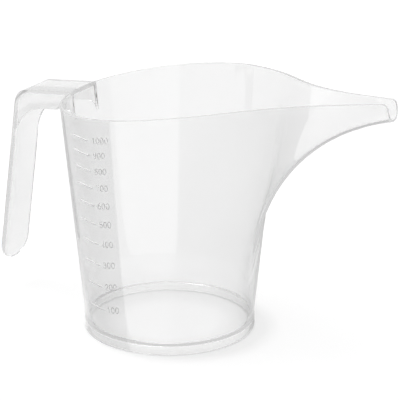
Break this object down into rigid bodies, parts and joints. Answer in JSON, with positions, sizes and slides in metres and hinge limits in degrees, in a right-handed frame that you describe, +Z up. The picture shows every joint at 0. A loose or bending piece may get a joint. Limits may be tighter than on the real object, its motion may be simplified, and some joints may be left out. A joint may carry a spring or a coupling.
{
  "type": "measuring jug",
  "caption": "Clear moulded measuring jug with a tapered bowl, a long open trough spout, a hooked strap handle and raised volume marks on the wall.",
  "frame": {"origin": "centre of the foot ring's underside, on the bowl's axis", "axes": "+Z up along the bowl's axis, +X from the axis to the end of the spout, the handle on -X, and +Y completes the frame; the marks are on the -Y side"},
  "size_m": [0.2508, 0.12, 0.1555],
  "materials": {
    "clear_plastic": "clear glossy moulded polypropylene"
  },
  "bodies": {
    "root": {"bowl_wall": "clear_plastic", "bowl_floor": "clear_plastic", "foot_ring": "clear_plastic", "spout": "clear_plastic", "handle_top": "clear_plastic", "handle_bend": "clear_plastic", "handle_grip": "clear_plastic", "handle_web_near": "clear_plastic", "handle_web_far": "clear_plastic", "volume_marks": "clear_plastic"}
  },
  "joints": []
}
